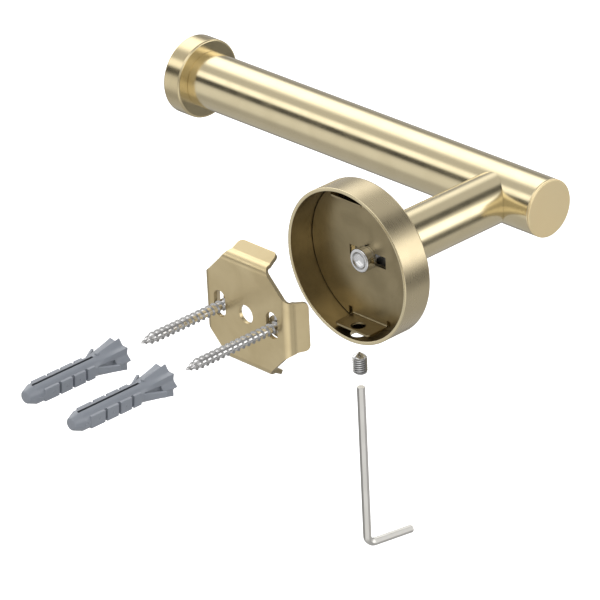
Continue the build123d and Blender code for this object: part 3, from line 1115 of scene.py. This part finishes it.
# ------------------------------------------------------------------------------ threads
@dataclass
class Thread:
    """A right-hand screw thread, drawn round Z from 0 upwards."""

    core: float
    crest: float
    pitch: float
    length: float
    flank: float = 0.30
    land: float = 0.08
    steps: int = 30
    shaded_from: float = 0.35

    def build(self, name: str, taper: Callable[[float], float]) -> bpy.types.Object:
        """Winds the thread.

        Args:
            name: The object's name.
            taper: The share of its radius that the thread has at a height in millimetres.

        Returns:
            The thread as a closed shell, its floor in material slot 0 and the flanks and crests in slot 1,
            which the callers give painted shade.
        """
        foot, land = self.flank + self.land / 2, self.land / 2
        tooth = [(self.core, 0.0), (self.core, 0.5 - foot), (self.crest, 0.5 - land),
                 (self.crest, 0.5 + land), (self.core, 0.5 + foot), (self.core, 1.0)]
        points = [Vector((radius * MM, 0, share * self.pitch * MM)) for radius, share in tooth]
        thread = laid_line(name, points)
        turns = math.ceil(self.length / self.pitch) + 2
        step = thread.modifiers.new("wind", "SCREW")
        step.screw_offset = self.pitch * MM
        step.iterations = turns
        step.steps = step.render_steps = self.steps
        step.use_merge_vertices = True
        activate(thread)
        bpy.ops.object.modifier_apply(modifier=step.name)
        open_mesh(thread)
        bpy.ops.mesh.select_all(action="SELECT")
        bpy.ops.mesh.remove_doubles(threshold=WELD)
        bpy.ops.mesh.select_all(action="SELECT")
        bpy.ops.transform.translate(value=(0, 0, -self.pitch * MM))
        for height, outer in ((0.0, False), (self.length, True)):
            bpy.ops.mesh.select_all(action="SELECT")
            bpy.ops.mesh.bisect(plane_co=(0, 0, height * MM), plane_no=(0, 0, 1), use_fill=True,
                                clear_outer=outer, clear_inner=not outer, threshold=WELD)
        tidy_open_mesh()
        # Flanks and crests go to slot 1, which wears a dark copy of the steel: painted shade.
        floor = self.core + self.shaded_from * (self.crest - self.core)
        for face in thread.data.polygons:
            across = math.hypot(face.center.x, face.center.y) / MM
            face.material_index = int(across > floor and abs(face.normal.z) < 0.99)
        for point in thread.data.vertices:
            share = taper(point.co.z / MM)
            point.co.x *= share
            point.co.y *= share
        return thread


@dataclass
class WallScrew:
    """A pan-head screw for a wall plug."""

    side: str
    core: float = 2.9
    crest: float = 4.0
    pitch: float = 2.25
    length: float = 40.0
    point: float = 5.0
    head: float = 7.6
    head_height: float = 2.6
    recess_length: float = 4.2
    recess_width: float = 0.9
    recess_depth: float = 1.5
    head_overlap: float = 0.3

    def build(self, palette: Palette) -> None:
        """Makes and dresses the screw.

        Args:
            palette: The finishes.
        """
        _, high, centre, _ = room(f"wall_screw_{self.side}")
        thread = Thread(self.core / 2, self.crest / 2, self.pitch, self.length, 0.2, 0.06)
        shaft = thread.build(f"wall_screw_{self.side}_threaded", self._taper)
        # Thread flanks and crests wear the dark steel copy: painted shade.
        palette.wear(shaft, "zinc", "steel_painted_shade")
        head = self._head()
        palette.wear(head, "zinc")
        merge_shells(shaft, [head])
        at = Vector((centre.x, high.y - self.length * MM, centre.z))
        screw = set_down(shaft, at, Facing.WALL)
        smooth(screw, 40)
        hand_over(screw, f"screw_{self.side}", "steel_bright", f"wall_screw_{self.side}")

    def _taper(self, height: float) -> float:
        """The share of the thread's radius at a height, down to the gimlet point."""
        left = self.length - height
        if left >= self.point:
            return 1.0
        return max(0.02, (max(left, 0.0) / self.point) ** 0.75)

    def _head(self) -> bpy.types.Object:
        """The pan head with its cross recess."""
        radius, neck = self.head / 2, 0.9 * self.core / 2
        outline = rounded([
            (0, self.head_overlap, 0), (neck, self.head_overlap, 0), (neck, 0, 0), (radius, 0, 0.2),
            (radius, -self.head_height, 1.1), (0, -self.head_height, 0),
        ], 6)
        head = spun("screw_head", outline, 48)
        reach, half = self.recess_length / 2 * MM, self.recess_width / 2 * MM
        floor, top = (-self.head_height + self.recess_depth) * MM, -2 * self.head_height * MM
        for x, y in ((reach, half), (half, reach)):
            combine(head, box_tool(Vector((-x, -y, top)), Vector((x, y, floor))))
        return head


@dataclass
class SetScrew:
    """The cone-point set screw with its hexagon socket."""

    crest: float = 5.0
    core: float = 4.2
    pitch: float = 0.8
    cone: float = 1.7
    tip: float = 0.3
    overlap: float = 0.4
    socket_flats: float = 2.6
    socket_depth: float = 3.2
    body: str = "set_screw"

    def build(self, palette: Palette) -> None:
        """Makes and dresses the set screw.

        Args:
            palette: The finishes.
        """
        low, _, centre, size = room("set_screw")
        shoulder = size.z - self.cone
        thread = Thread(self.core / 2, self.crest / 2, self.pitch, shoulder, 0.26, 0.12, 36)

        def taper(height: float) -> float:
            """The share of the radius that the bevels at both ends leave."""
            return min(1.0, 0.88 + 0.3 * height, 0.90 + 0.3 * max(0.0, shoulder - height))

        screw = thread.build("set_screw_cone_point", taper)
        # Thread flanks and crests wear the dark steel copy: painted shade.
        palette.wear(screw, "steel", "steel_painted_shade")
        radius = self.crest / 2
        outline = rounded([
            (0, shoulder - self.overlap, 0), (0.8 * radius, shoulder - self.overlap, 0),
            (0.93 * radius, shoulder, 0.1), (self.tip / 2, size.z, 0), (0, size.z, 0),
        ], 3)
        cone = spun("set_screw_cone", outline, 48)
        palette.wear(cone, "steel")
        corner = self.socket_flats / math.sqrt(3)
        turn = HexKey.flat_turn + HexKey.turn
        socket = rod_tool(corner, 2 * self.socket_depth, Vector(), Facing.UP, 6, turn)
        combine(screw, socket)
        merge_shells(screw, [cone])
        set_down(screw, Vector((centre.x, centre.y, low.z)))
        smooth(screw, 40)
        hand_over(screw, self.body, "steel_bright", "set_screw")


@dataclass
class HexKey:
    """The bent hexagon key."""

    flats: float = 2.5
    short_leg: float = 18.0
    bend: float = 3.0
    turn: float = -12.0
    flat_turn: float = 30.0
    edge: float = 0.12
    body: str = "hex_key"

    def build(self, palette: Palette) -> None:
        """Makes and dresses the key: a hexagon drawn down, round the bend and out.

        Args:
            palette: The finishes.
        """
        _, high, _, size = room("hex_key")
        screw_centre = room("set_screw")[2]
        down = (size.z - self.flats / 2 - self.bend) * MM
        bpy.ops.object.select_all(action="DESELECT")
        bpy.ops.mesh.primitive_circle_add(vertices=6, radius=self.flats / math.sqrt(3) * MM, fill_type="NGON")
        key = bpy.context.object
        key.name = key.data.name = "hexagon_key"
        activate(key)
        bpy.ops.object.mode_set(mode="EDIT")
        bpy.ops.mesh.select_all(action="SELECT")
        turn = math.radians(self.flat_turn)
        bpy.ops.transform.rotate(value=turn, orient_axis="Z", center_override=(0, 0, 0))
        bpy.ops.mesh.extrude_region_move(TRANSFORM_OT_translate={"value": (0, 0, -down)})
        bpy.ops.mesh.spin(steps=12, angle=math.pi / 2, center=(0, -self.bend * MM, -down), axis=(1, 0, 0))
        bpy.ops.mesh.extrude_region_move(
            TRANSFORM_OT_translate={"value": (0, -(self.short_leg - self.bend) * MM, 0)})
        tidy_open_mesh()
        soften(key, self.edge, 40, 3)
        smooth(key, 40)
        set_down(key, Vector((screw_centre.x, screw_centre.y, high.z)), turn=self.turn)
        palette.dress(key, "nickel")
        hand_over(key, self.body, "steel_bright", "hex_key")


# ------------------------------------------------------------------------------ wall plugs
@dataclass
class WallPlug:
    """A grey expanding plug with a fluted collar, a slit, side teeth and two tongues."""

    side: str
    diameter: float = 6.8
    length: float = 40.0
    collar: float = 11.8
    flare: float = 12.0
    nose: float = 3.4
    nose_diameter: float = 4.0
    bore: float = 4.2
    bore_end: float = 1.3
    flutes: int = 8
    flute_depth: float = 1.4
    slit_width: float = 0.9
    slit_start: float = 11.4
    slit_end: float = 37.0
    notches: int = 3
    notch_start: float = 16.4
    notch_pitch: float = 5.6
    notch_width: float = 1.0
    notch_depth: float = 0.8
    notch_share: float = 0.8
    tongue_length: float = 7.5
    tongue_width: float = 2.2
    tongue_lean: float = 30.0
    tongue_thick: float = 1.0
    turn: float = -6.0
    pad_width: float = 4.4
    pad_start: float = 13.2
    pad_end: float = 34.5
    pad_rise: float = 0.18
    mark_sink: float = 0.06
    mark_share: float = 0.55
    lug_height: float = 9.6
    relief_width: float = 2.9
    relief_floor: float = 3.0
    relief_length: float = 6.8
    relief_gap: float = 0.3

    def build(self, palette: Palette) -> None:
        """Makes and dresses the plug.

        Args:
            palette: The finishes.
        """
        low, _, centre, _ = room(f"wall_plug_{self.side}")
        plug = self._body()
        self._pads(plug)
        self._cuts(plug)
        soften(plug, 0.12, 38)
        # The bore and slit wear the dark plastic copy: painted shade.
        palette.dress(plug, "plastic", "plastic_painted_shade")
        self._shade_bore(plug)
        added = self._small_parts()
        for shell in added:
            palette.wear(shell, "plastic")
        merge_shells(plug, added)
        set_down(plug, Vector((centre.x, low.y, centre.z)), Facing.WALL, self.turn)
        smooth(plug, 38)
        hand_over(plug, f"plug_{self.side}", "plug_grey", f"wall_plug_{self.side}")

    def _body(self) -> bpy.types.Object:
        """The turned body with its bore, then fluted at the collar."""
        body, bore, collar = self.diameter / 2, self.bore / 2, self.collar / 2
        bore_end = self.length - self.bore_end
        corners = [(0, bore_end, 0), (bore, bore_end, 0), (bore, 0, 0.15), (collar, 0, 0.3)]
        for step in range(1, 8):
            height = self.flare * step / 8
            corners.append((collar + (body - collar) * (step / 8) ** 0.9, height, 0))
        corners += [(body, self.flare, 0), (body, self.length - self.nose, 0.5),
                    (self.nose_diameter / 2, self.length, 0.8), (0, self.length, 0)]
        plug = spun(f"wall_plug_{self.side}_moulded", rounded(corners, 4), 96)
        for point in plug.data.vertices:
            radius = math.hypot(point.co.x, point.co.y) / MM
            height = point.co.z / MM
            if radius <= bore + 0.2 or height >= self.flare:
                continue
            angle = math.atan2(point.co.y, point.co.x)
            wave = abs(math.sin(self.flutes / 2 * angle))
            depth = self.flute_depth * wave * (1 - height / self.flare)
            share = max(bore + 0.4, radius - depth) / radius
            point.co.x *= share
            point.co.y *= share
        return plug

    def _side_box(self, side: int, across: tuple[float, float], half: float,
                  along: tuple[float, float]) -> bpy.types.Object:
        """A box on one side of the plug, with sizes in millimetres.

        Args:
            side: 1 or -1.
            across: Its two distances from the axis.
            half: Half its height.
            along: Where it starts and ends along the plug.

        Returns:
            The box.
        """
        low_x, high_x = sorted((side * across[0], side * across[1]))
        return box_tool(Vector((low_x, -half, along[0])) * MM, Vector((high_x, half, along[1])) * MM)

    def _pads(self, plug: bpy.types.Object) -> None:
        """Adds the flat pads on both sides, which the notches divide.

        Args:
            plug: The plug's body.
        """
        across = (self.bore / 2 + 0.3, self.diameter / 2 + self.pad_rise)
        for side in (1, -1):
            pad = self._side_box(side, across, self.pad_width / 2, (self.pad_start, self.pad_end))
            soften(pad, 0.2, 40, 3)
            combine(plug, pad, Joining.ADD)

    def _cuts(self, plug: bpy.types.Object) -> None:
        """Cuts the long slit, the notches on both sides and the hollow beside each tongue.

        Args:
            plug: The plug's body.
        """
        half, deep = self.slit_width / 2 * MM, self.diameter * MM
        combine(plug, box_tool(Vector((-half, -deep, self.slit_start * MM)),
                               Vector((half, deep, self.slit_end * MM))))
        floor, high = (self.diameter / 2 - self.notch_depth) * MM, self.notch_share * self.diameter / 2 * MM
        for notch in range(self.notches):
            start = (self.notch_start + notch * self.notch_pitch) * MM
            end = start + self.notch_width * MM
            for side in (1, -1):
                low_x, high_x = sorted((side * floor, side * deep))
                combine(plug, box_tool(Vector((low_x, -high, start)), Vector((high_x, high, end))))
        along = (self.flare - self.relief_length, self.flare - self.relief_gap)
        for side in (1, -1):
            across = (self.relief_floor, self.collar)
            combine(plug, self._side_box(side, across, self.relief_width / 2, along))

    def _shade_bore(self, plug: bpy.types.Object) -> None:
        """Gives the bore and the slit a dark copy of the plastic: painted shade.

        Args:
            plug: The plug's body, before it is turned.
        """
        for face in plug.data.polygons:
            spot = face.center
            in_bore = math.hypot(spot.x, spot.y) < (self.bore / 2 + 0.1) * MM and spot.z < self.slit_end * MM
            in_slit = abs(spot.x) < (self.slit_width / 2 + 0.02) * MM and abs(face.normal.x) > 0.9
            if in_bore or in_slit:
                face.material_index = 1

    def _small_parts(self) -> list[bpy.types.Object]:
        """The leaning tongues, the round marks between the notches, and the lugs by the slit."""
        made = []
        body, deep, half = self.diameter / 2, self.tongue_thick / 2, self.tongue_width / 2
        for side in (1, -1):
            tongue = box_tool(Vector((-deep, -half, -self.tongue_length)) * MM, Vector((deep, half, 0)) * MM)
            soften(tongue, 0.25, 40, 3)
            root = Matrix.Translation(Vector((side * (body - deep), 0, self.flare)) * MM)
            lean = Matrix.Rotation(math.radians(-side * self.tongue_lean), 4, "Y")
            made.append(settle(tongue, root @ lean))
        for mark in range(self.notches + 1):
            height = self.notch_start + self.notch_pitch * (mark + self.mark_share)
            for side in (1, -1):
                outline = rounded([(0, -0.3, 0), (0.55, -0.3, 0), (0.45, 0.16, 0.12), (0, 0.2, 0)], 3)
                at = Vector((side * (body + self.pad_rise - self.mark_sink), 0, height)) * MM
                outwards = Matrix.Rotation(side * math.pi / 2, 4, "Y")
                made.append(settle(spun("plug_mark", outline, 16), Matrix.Translation(at) @ outwards))
        for side in (1, -1):
            outline = rounded([(0, -1.0, 0), (0.8, -1.0, 0), (0.75, 0.75, 0.35), (0, 0.8, 0)], 4)
            at = Vector((0, side * body, self.lug_height)) * MM
            outwards = Matrix.Rotation(-side * math.pi / 2, 4, "X")
            made.append(settle(spun("plug_lug", outline, 20), Matrix.Translation(at) @ outwards))
        return made


class HiddenPieces:
    """The slugs, screw and stud inside the holder, which keep their own meshes."""

    NODES = ("post_base_insert", "post_nose_insert", "joint_screw", "bar_insert", "flange_stud")

    def dress(self, nodes: dict[str, bpy.types.Object], palette: Palette) -> None:
        """Gives them a machined steel finish.

        Args:
            nodes: The frame's own pieces.
            palette: The finishes.
        """
        for name in self.NODES:
            palette.dress(nodes[name], "plain_steel")
            LOG.info("%s: keeps its own mesh", name)


# ------------------------------------------------------------------------------ the studio
@dataclass(frozen=True)
class Panel:
    """A soft light or a dark card at infinity."""

    towards: tuple[float, float, float]
    inner: float
    outer: float
    strength: float


@dataclass
class Studio:
    """Floor, surrounding light and camera."""

    floor_drop: float = 0.03
    floor_glow: float = 0.62
    base: float = 0.62
    darkest: float = 0.02
    panels: tuple[Panel, ...] = (
        Panel((0.66, -0.34, 0.67), 3, 29, 1.45),
        Panel((0.654, 0.561, 0.507), 4, 12, 1.05),
        Panel((0.654, 0.7095, 0.262), 5, 11.5, -0.60),
        Panel((0.654, 0.723, -0.222), 6, 20, 0.28),
        Panel((0.654, -0.72, 0.22), 4, 15, -0.28),
        Panel((0.654, -0.611, -0.446), 8, 30, -0.30),
        Panel((-0.385, -0.611, 0.692), 4, 15, -0.56),
        Panel((-0.758, -0.611, 0.227), 7, 20, 1.5),
        Panel((-0.728, -0.611, -0.311), 4, 13, -0.46),
        Panel((-0.2, 0.87, -0.446), 8, 30, 0.35),
        Panel((-0.676, 0.587, -0.446), 8, 26, 0.45),
        Panel((0.846, 0.293, -0.446), 6, 17, -0.30),
        Panel((0.0, 0.55, 0.83), 8, 30, 1.2),
        Panel((0.95, 0.0, 0.31), 6, 24, 1.1),
        Panel((-0.9, 0.15, 0.42), 6, 24, 1.1),
        Panel((0.0, -0.98, 0.10), 5, 16, -0.45),
        Panel((0.0, -0.88, 0.47), 5, 17, 0.9),
        Panel((0.0, 0.98, 0.12), 4, 14, -0.45),
        Panel((0.98, 0.0, -0.2), 4, 15, -0.42),
        Panel((-0.98, 0.1, -0.18), 4, 15, -0.42),
    )
    azimuth: float = 226.91
    elevation: float = 26.45
    roll: float = -2.8
    distance: float = 1.567
    lens: float = 282.1
    aim: tuple[float, float, float] = (0.0229, -0.0457, -0.0196)

    def build(self, low: Vector) -> None:
        """Sets up the floor, the light and the camera.

        Args:
            low: The object's lowest corner.
        """
        self._floor(low.z)
        self._surround()
        self._camera()
        scene = bpy.context.scene
        scene.view_settings.view_transform = "Standard"
        scene.view_settings.look = "None"

    def _floor(self, lowest: float) -> None:
        """A plain pale floor under everything, which only the camera sees, from above.

        Args:
            lowest: The height of the object's lowest point.
        """
        bpy.ops.object.select_all(action="DESELECT")
        bpy.ops.mesh.primitive_plane_add(size=40, location=(0, 0, lowest - self.floor_drop))
        floor = bpy.context.object
        floor.name = "pale_floor"
        made = bpy.data.materials.new("pale_floor")
        made.use_nodes = True
        tree = made.node_tree
        shader = feed(tree, tree.nodes["Principled BSDF"], {
            "Base Color": (0.9, 0.9, 0.9, 1), "Roughness": 0.9, "Emission Color": (1, 1, 1, 1),
            "Emission Strength": self.floor_glow})
        clear = tree.nodes.new("ShaderNodeBsdfTransparent")
        camera_ray = tree.nodes.new("ShaderNodeLightPath").outputs["Is Camera Ray"]
        back = tree.nodes.new("ShaderNodeNewGeometry").outputs["Backfacing"]
        seen = maths(tree, "MAXIMUM", maths(tree, "SUBTRACT", camera_ray, back), 0.0)
        mix = feed(tree, tree.nodes.new("ShaderNodeMixShader"), {
            "Fac": seen, 1: clear.outputs[0], 2: shader.outputs[0]})
        feed(tree, tree.nodes["Material Output"], {"Surface": mix.outputs[0]})
        floor.data.materials.append(made)
        floor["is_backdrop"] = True

    def _surround(self) -> None:
        """The surrounding light: a soft base with light panels and dark cards."""
        world = bpy.data.worlds.new("studio")
        bpy.context.scene.world = world
        world.use_nodes = True
        tree = world.node_tree
        where = tree.nodes.new("ShaderNodeTexCoord").outputs["Generated"]
        split = feed(tree, tree.nodes.new("ShaderNodeSeparateXYZ"), {0: where})
        total = spread(tree, split.outputs["Z"], -1.0, 0.2, self.base * 0.8, self.base)
        for panel in self.panels:
            dot = tree.nodes.new("ShaderNodeVectorMath")
            dot.operation = "DOT_PRODUCT"
            feed(tree, dot, {0: where, 1: Vector(panel.towards).normalized()})
            edges = (math.cos(math.radians(angle)) for angle in (panel.outer, panel.inner))
            total = maths(tree, "ADD", total, spread(tree, dot.outputs["Value"], *edges, 0.0, panel.strength))
        total = maths(tree, "MAXIMUM", total, self.darkest)
        feed(tree, tree.nodes["Background"], {"Strength": total, "Color": (1, 1, 1, 1)})

    def _camera(self) -> None:
        """The camera, from its angles, its distance and the point it aims at."""
        turn, rise, roll = (math.radians(angle) for angle in (self.azimuth, self.elevation, self.roll))
        back = Vector((math.sin(turn) * math.cos(rise), -math.cos(turn) * math.cos(rise), math.sin(rise)))
        right = (-back).cross(Vector((0, 0, 1))).normalized()
        above = right.cross(-back)
        tilted_right = right * math.cos(roll) + above * math.sin(roll)
        tilted_above = above * math.cos(roll) - right * math.sin(roll)
        lens = bpy.data.cameras.new("view")
        lens.lens = self.lens
        lens.clip_start, lens.clip_end = 0.05, 60.0
        camera = bpy.data.objects.new("view", lens)
        bpy.context.scene.collection.objects.link(camera)
        axes = Matrix((tilted_right, tilted_above, back)).transposed()
        camera.matrix_world = Matrix.Translation(Vector(self.aim) + back * self.distance) @ axes.to_4x4()
        bpy.context.scene.camera = camera


def main() -> None:
    """Builds every sub-assembly round the frame and reports each piece."""
    logging.basicConfig(level=logging.INFO, format="%(name)s: %(message)s")
    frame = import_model()
    cad_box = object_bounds()
    palette = Palette()
    BaseCup().build(palette)
    Arm().build(palette)
    PostScrew().build(palette)
    WallBracket().build(palette)
    for side in ("left", "right"):
        WallScrew(side).build(palette)
        WallPlug(side).build(palette)
    SetScrew().build(palette)
    HexKey().build(palette)
    HiddenPieces().dress(frame["nodes"], palette)
    Studio().build(cad_box[0])


if __name__ == "__main__":
    main()
